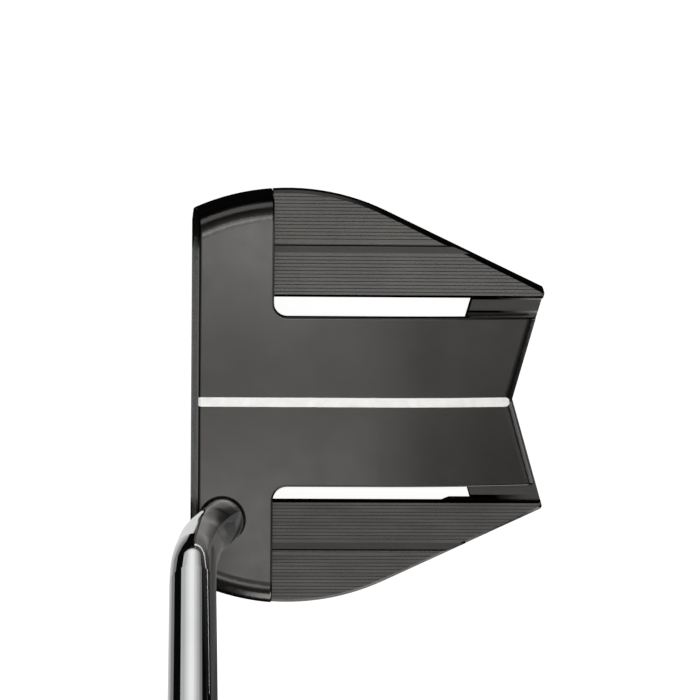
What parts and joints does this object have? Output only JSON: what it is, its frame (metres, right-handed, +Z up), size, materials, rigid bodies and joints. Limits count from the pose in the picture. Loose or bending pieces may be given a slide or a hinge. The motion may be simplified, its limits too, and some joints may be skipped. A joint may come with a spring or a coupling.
{
  "type": "mallet putter",
  "caption": "Right-handed mallet golf putter: T-shaped milled body, slotted wing frame with a V-shaped rear, double-bend chrome shaft and pistol grip.",
  "frame": {"origin": "on the flat sole, on the centre line, under the middle of the front bar (9 mm behind the leading edge)", "axes": "+X from the face to the back of the head, +Y from heel to toe, +Z up with the club at address"},
  "size_m": [0.0912, 0.3575, 0.8146],
  "materials": {
    "head_body": "dark satin anodised, bead blasted",
    "alignment_paint": "white paint fill",
    "wing_frame": "dark coated steel with fine milled lines",
    "face_insert": "milled, dark anodised",
    "soft_pad": "matt",
    "screw_steel": "black oxide",
    "weight_metal": "turned satin",
    "shaft_chrome": "mirror chrome plate",
    "plug_plastic": "plain",
    "grip_rubber": "fine textured rubber",
    "tape": "adhesive tape",
    "cap_plastic": "moulded"
  },
  "bodies": {
    "root": {"head_body": "head_body", "alignment_line": "alignment_paint", "wing_frame": "wing_frame", "face_insert": "face_insert", "insert_pad": "soft_pad", "rear_damper_pad": "soft_pad", "front_frame_screws": "screw_steel", "rear_frame_screws": "screw_steel", "toe_weight": "weight_metal", "heel_weight": "weight_metal", "weight_washers": "soft_pad", "shaft": "shaft_chrome", "shaft_tip_plug": "plug_plastic", "grip": "grip_rubber", "grip_tape": "tape", "grip_cap": "cap_plastic"}
  },
  "joints": []
}
